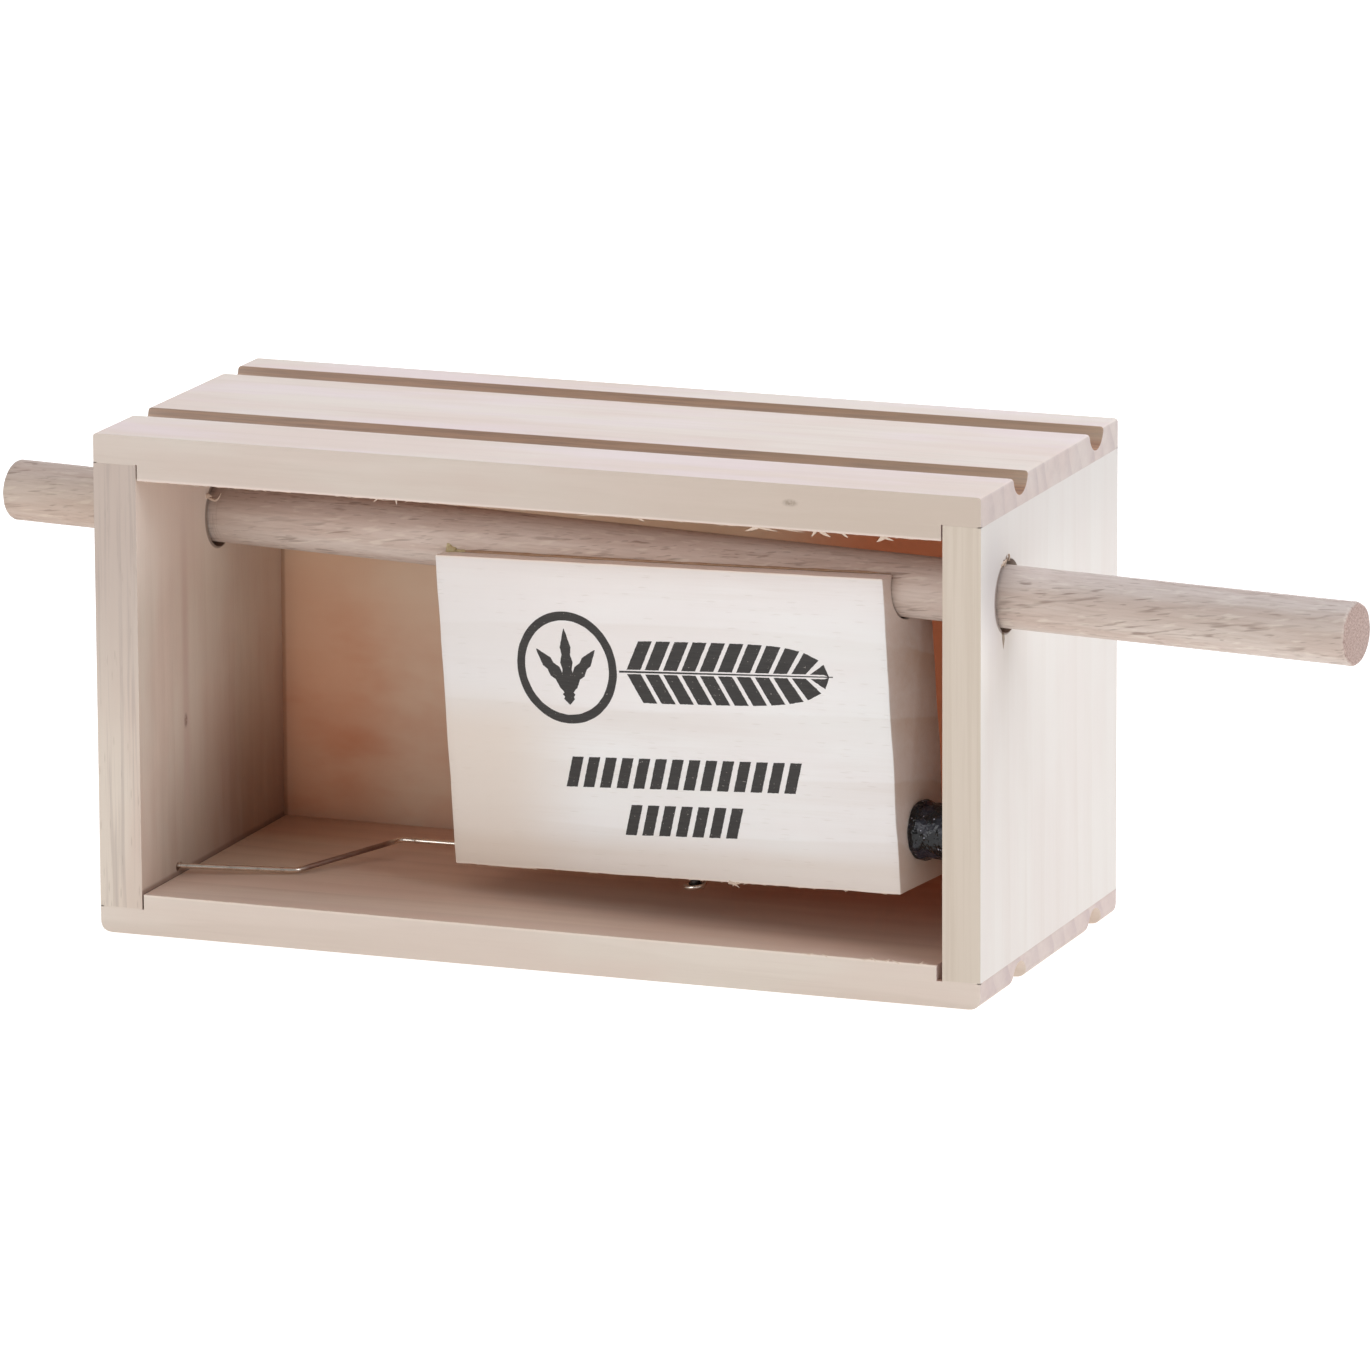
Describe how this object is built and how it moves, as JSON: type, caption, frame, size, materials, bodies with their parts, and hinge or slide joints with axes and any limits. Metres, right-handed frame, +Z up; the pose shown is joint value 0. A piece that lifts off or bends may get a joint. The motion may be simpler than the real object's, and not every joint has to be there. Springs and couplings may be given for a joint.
{
  "type": "box turkey call",
  "caption": "Open-fronted wooden box call with a push rod that slides a hanging striker block over a peg on a thin tone board, returned by a bent wire spring.",
  "frame": {"origin": "centre of the box's underside, on the land between its two grooves", "axes": "+X along the box towards the push end of the rod, +Y from the open front to the tone board, +Z up"},
  "size_m": [0.2257, 0.0626, 0.0762],
  "materials": {
    "plank_wood": "sawn and lightly sanded pale softwood, unfinished",
    "wall_wood": "sanded pale softwood with upright grain, unfinished",
    "tone_board_wood": "thin planed softwood that glows salmon with light behind it",
    "peg_wood": "chalked hardwood",
    "block_wood": "smooth sanded pale softwood with a black ink print",
    "beech_dowel": "bare beech dowel with fine dark flecks",
    "black_rubber": "glossy black rubber",
    "black_steel": "black oxide",
    "music_wire": "bright drawn spring wire"
  },
  "bodies": {
    "box": {"top_plank": "plank_wood", "bottom_plank": "plank_wood", "left_end_panel": "wall_wood", "right_end_panel": "wall_wood", "sound_board": "tone_board_wood", "sounding_peg": "peg_wood", "spring_leg": "music_wire"},
    "rod": {"push_rod": "beech_dowel"},
    "striker": {"striker_block": "block_wood", "bumper": "black_rubber", "spring_screw": "black_steel", "screw_washer": "black_steel", "spring_eye": "music_wire"},
    "spring_arm_body": {"spring_arm": "music_wire"},
    "spring_elbow_body": {"spring_elbow": "music_wire"},
    "spring_tail_body": {"spring_tail": "music_wire"}
  },
  "joints": [
    {"name": "rod_slide", "type": "slide", "parent": "box", "child": "rod", "axis": [-0.9892, 0.1463, -0.0052], "range_m": [0, 0.012], "stiffness_N_per_m": 150, "springref_m": -0.004},
    {"name": "striker_swing", "type": "hinge", "parent": "rod", "child": "striker", "pos_m": [0, -0.0088, 0.05895], "axis": [0.9892, -0.1463, 0.0052], "range_deg": [-6, 0]},
    {"name": "spring_arm_fold", "type": "hinge", "parent": "box", "child": "spring_arm_body", "pos_m": [-0.0462, -0.0113, 0.00685], "axis": [0, 0, 1], "range_deg": [0, 34.5]},
    {"name": "spring_elbow_fold", "type": "hinge", "parent": "spring_arm_body", "child": "spring_elbow_body", "pos_m": [-0.0361, 0.0056, 0.0086], "axis": [0, 0, 1], "range_deg": [-37, 0]},
    {"name": "spring_tail_lift", "type": "hinge", "parent": "spring_elbow_body", "child": "spring_tail_body", "pos_m": [-0.03291, 0.0054, 0.00868], "axis": [-0.0376, -0.1856, 0.9819], "range_deg": [-9, 0]}
  ],
  "couplings": [
    {"joint": "spring_arm_fold", "follows": "rod_slide", "rad_per_m": 49.813},
    {"joint": "spring_elbow_fold", "follows": "rod_slide", "rad_per_m": -53.24},
    {"joint": "spring_tail_lift", "follows": "striker_swing", "ratio": 1.4418}
  ]
}
